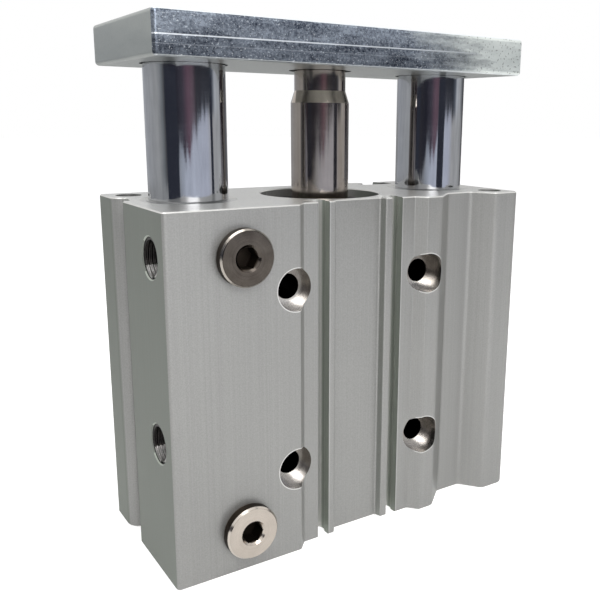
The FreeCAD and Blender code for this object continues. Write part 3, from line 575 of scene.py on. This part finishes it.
# painted highlights along the top and foot edges, and two tool lines that climb a little to the right
top_edge_highlight = both(tree, over(tree, plate_z, 0.13565), under(tree, plate_y, -0.0205))
foot_edge_highlight = both(tree, under(tree, plate_z, 0.1264), front, 0.5)
surface = blend_colour(tree, either(tree, top_edge_highlight, foot_edge_highlight), surface, (0.84, 0.88, 0.90))
for line_z, half, strength in ((0.1306, 0.00015, 0.95), (0.1286, 0.00008, 0.16)):
    climb = spread(tree, plate_x, -0.054, 0.030, line_z, line_z + 0.0006)
    from_line = calc(tree, "ABSOLUTE", calc(tree, "SUBTRACT", plate_z, climb))
    line = both(tree, under(tree, from_line, half), spangled, strength)
    surface = blend_colour(tree, line, surface, (0.74, 0.78, 0.82))
feed(tree, surface, shader.inputs["Base Color"])
feed(tree, spread(tree, spangle, 0.3, 0.7, 0.24, 0.42), shader.inputs["Roughness"])
relief(tree, shader, total(tree, both(tree, spangle, spangled), both(tree, mill, 0.4)), 0.00006, 0.5)
dress(plated, "end_plate")


# ---------------------------------------------------------------- plate screws
# Countersunk socket screws hold the plate on the three rods. Their heads are zinc plated
# and sit just below the face.
for side, rod_x in (*guide_x.items(), ("middle", 0)):
    dress(turned_finish("zinc_screw_" + side, (0.45, 0.46, 0.47), (0.56, 0.57, 0.58), 0.30,
                        (rod_x, 0, 0)), "rod_screw" if side == "middle" else "guide_screw_" + side)


# ---------------------------------------------------------------- studio
# The cylinder stands on a white sweep. Only polished metal sees the surround: a pale room,
# dark in front above the horizon, with two small dark cards close to the rods.
def by_bearing(tree, turn, stops):
    """Colour by bearing: degrees from straight in front of the port face, left to right."""
    node = tree.nodes.new("ShaderNodeValToRGB")
    points = node.color_ramp.elements
    for k, (degrees_right, colour) in enumerate(stops):
        point = points[k] if k < 2 else points.new(1.0)
        point.position = (degrees_right + 180) / 360
        point.color = (*colour, 1)
    feed(tree, turn, node.inputs[0])
    return node.outputs[0]


def place(degrees_right, distance, height, centre=(0, 0)):
    """Point at a bearing and distance from a centre."""
    a = radians(degrees_right)
    return Vector((centre[0] + sin(a) * distance, centre[1] - cos(a) * distance, height))


def upright_board(name, finish, start, end, distance, base, top, centre=(0, 0), steps=1):
    """Upright board between two bearings, seen by polished metal only."""
    mesh = bmesh.new()
    columns = [[mesh.verts.new(place(start + (end - start) * k / steps, distance, h, centre))
                for h in (base, top)] for k in range(steps + 1)]
    for one, two in zip(columns, columns[1:]):
        mesh.faces.new((one[0], two[0], two[1], one[1]))
    data = bpy.data.meshes.new(name)
    mesh.to_mesh(data)
    mesh.free()
    data.materials.append(finish)
    board = bpy.data.objects.new(name, data)
    bpy.context.scene.collection.objects.link(board)
    board.visible_camera = board.visible_shadow = board.visible_diffuse = False


def glow(name, colour=(1, 1, 1)):
    """Plain emission; returns material, tree and emission node."""
    finish = bpy.data.materials.new(name)
    finish.use_nodes = True
    tree = finish.node_tree
    tree.nodes.clear()
    light = tree.nodes.new("ShaderNodeEmission")
    light.inputs["Color"].default_value = (*colour, 1)
    tree.links.new(light.outputs[0], tree.nodes.new("ShaderNodeOutputMaterial").inputs[0])
    return finish, tree, light


surround, tree, light = glow("room")
rx, ry, rz = split(tree, object_point(tree))
turn = calc(tree, "ARCTAN2", rx, calc(tree, "MULTIPLY", ry, -1.0))
turn = calc(tree, "ADD", calc(tree, "DIVIDE", turn, 2 * pi), 0.5)
low_tones = by_bearing(tree, turn, (
    (-180, (0.42, 0.43, 0.44)), (-92, (0.46, 0.47, 0.48)), (-60, (0.36, 0.37, 0.39)),
    (-42, (0.50, 0.54, 0.62)), (-30, (0.74, 0.80, 0.94)),
    (35, (0.74, 0.78, 0.92)), (50, (0.62, 0.62, 0.63)), (82, (0.62, 0.63, 0.64)), (100, (0.40, 0.40, 0.41)),
    (112, (0.10, 0.10, 0.11)), (135, (0.20, 0.20, 0.21)), (180, (0.42, 0.43, 0.44))))
high_tones = by_bearing(tree, turn, (
    (-180, (0.50, 0.52, 0.56)), (-104, (0.55, 0.56, 0.57)), (-90, (0.30, 0.32, 0.34)),
    (-78, (0.05, 0.05, 0.06)), (-48, (0.03, 0.03, 0.045)), (-32, (0.08, 0.075, 0.10)),
    (-16, (0.21, 0.125, 0.17)), (-5, (0.16, 0.11, 0.14)),
    (6, (0.05, 0.05, 0.062)), (48, (0.045, 0.05, 0.065)), (58, (0.16, 0.18, 0.22)), (66, (0.70, 0.73, 0.78)),
    (84, (0.60, 0.61, 0.63)), (97, (0.25, 0.26, 0.28)), (112, (0.07, 0.07, 0.08)), (135, (0.20, 0.20, 0.21)),
    (180, (0.50, 0.52, 0.56))))
rim = by_bearing(tree, turn, tuple((at, (tall, tall, tall)) for at, tall in (
    (-60, 0.04), (-42, 0.085), (-30, 0.072), (-22, 0.070),
    (0, 0.098), (12, 0.110), (27, 0.121), (40, 0.118))))
ragged = noise(tree, object_point(tree, scale=(14, 14, 60)), detail=3)
over_rim = calc(tree, "ADD", calc(tree, "SUBTRACT", rz, rim), spread(tree, ragged, 0.3, 0.7, -0.010, 0.010))
room = blend_colour(tree, spread(tree, over_rim, -0.004, 0.004), low_tones, high_tones)
streaks = noise(tree, object_point(tree, scale=(9, 9, 45), turn=(0, 0.5, 0)), detail=3)
room = blend_colour(tree, 1.0, room, spread(tree, streaks, 0.3, 0.7, 0.86, 1.10), "MULTIPLY")
feed(tree, room, light.inputs["Color"])
upright_board("room", surround, -180, 180, 0.70, -0.1, 0.22, steps=48)
dark_card = glow("dark_card", (0.045, 0.05, 0.07))[0]
left_x, right_x = (sum(corner.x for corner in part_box("guide_rod_" + side)) / 2
                   for side in ("left", "right"))
upright_board("card_left", dark_card, -75, -43, 0.060, 0.085, 0.128, (left_x, 0), steps=4)
upright_board("card_right", dark_card, -11, 10, 0.066, 0.080, 0.128, (right_x, 0), steps=2)

# the floor and the air are white to the camera, and the floor keeps the shadow
floor_mesh = bmesh.new()
bmesh.ops.create_grid(floor_mesh, x_segments=8, y_segments=8, size=4.0)
floor_data = bpy.data.meshes.new("sweep")
floor_mesh.to_mesh(floor_data)
floor_mesh.free()
floor = bpy.data.objects.new("sweep", floor_data)
floor.location.z = -0.0002
bpy.context.scene.collection.objects.link(floor)
sweep, tree, shader = new_finish("white_sweep", (0.80, 0.80, 0.80), 0.0, 0.9)
shader.inputs["Emission Color"].default_value = (1, 1, 1, 1)
path = tree.nodes.new("ShaderNodeLightPath").outputs["Is Camera Ray"]
feed(tree, spread(tree, path, 0.0, 1.0, 0.14, 0.60), shader.inputs["Emission Strength"])
floor_data.materials.append(sweep)

world = bpy.data.worlds.new("studio_air")
bpy.context.scene.world = world
world.use_nodes = True
tree = world.node_tree
tree.nodes.clear()
path = tree.nodes.new("ShaderNodeLightPath")
seen = calc(tree, "MAXIMUM", path.outputs["Is Camera Ray"],
            calc(tree, "MAXIMUM", path.outputs["Is Glossy Ray"], path.outputs["Is Transmission Ray"]))
air = tree.nodes.new("ShaderNodeBackground")
air.inputs["Color"].default_value = (1, 1, 1, 1)
feed(tree, spread(tree, seen, 0.0, 1.0, 0.50, 1.0), air.inputs["Strength"])
tree.links.new(air.outputs[0], tree.nodes.new("ShaderNodeOutputWorld").inputs[0])


def soft_lamp(name, degrees_right, distance, height, size, power):
    """Square area lamp aimed at the middle of the object."""
    data = bpy.data.lights.new(name, "AREA")
    data.size = size
    data.energy = power
    lamp = bpy.data.objects.new(name, data)
    lamp.location = place(degrees_right, distance, height)
    lamp.rotation_euler = (lamp.location - Vector((0, 0, 0.07))).to_track_quat("Z", "Y").to_euler()
    bpy.context.scene.collection.objects.link(lamp)


soft_lamp("key_light", -14, 0.42, 0.34, 0.25, 1.8)
soft_lamp("top_light", -50, 0.25, 1.3, 0.9, 6.0)

# the lens stands a little above the plate's underside, to the left of the port face
image_size, focal_length, centre_x, centre_y = 600, 765.0, 351.15, 292.22
camera_data = bpy.data.cameras.new("camera")
camera_data.sensor_width = 36
camera_data.lens = camera_data.sensor_width * focal_length / image_size
camera_data.shift_x = (image_size / 2 - centre_x) / image_size
camera_data.shift_y = (centre_y - image_size / 2) / image_size
camera_data.clip_start = 0.01
camera = bpy.data.objects.new("camera", camera_data)
right = Vector((0.83223, -0.55433, 0.01065))
down = Vector((-0.1138, -0.18959, -0.97525))
ahead = Vector((0.54263, 0.81042, -0.22087))
pose = Matrix((right, -down, -ahead)).transposed().to_4x4()
pose.translation = Vector((-0.11302, -0.18532, 0.11337))
camera.matrix_world = pose
bpy.context.scene.collection.objects.link(camera)
bpy.context.scene.camera = camera
bpy.context.scene.view_settings.view_transform = "Standard"
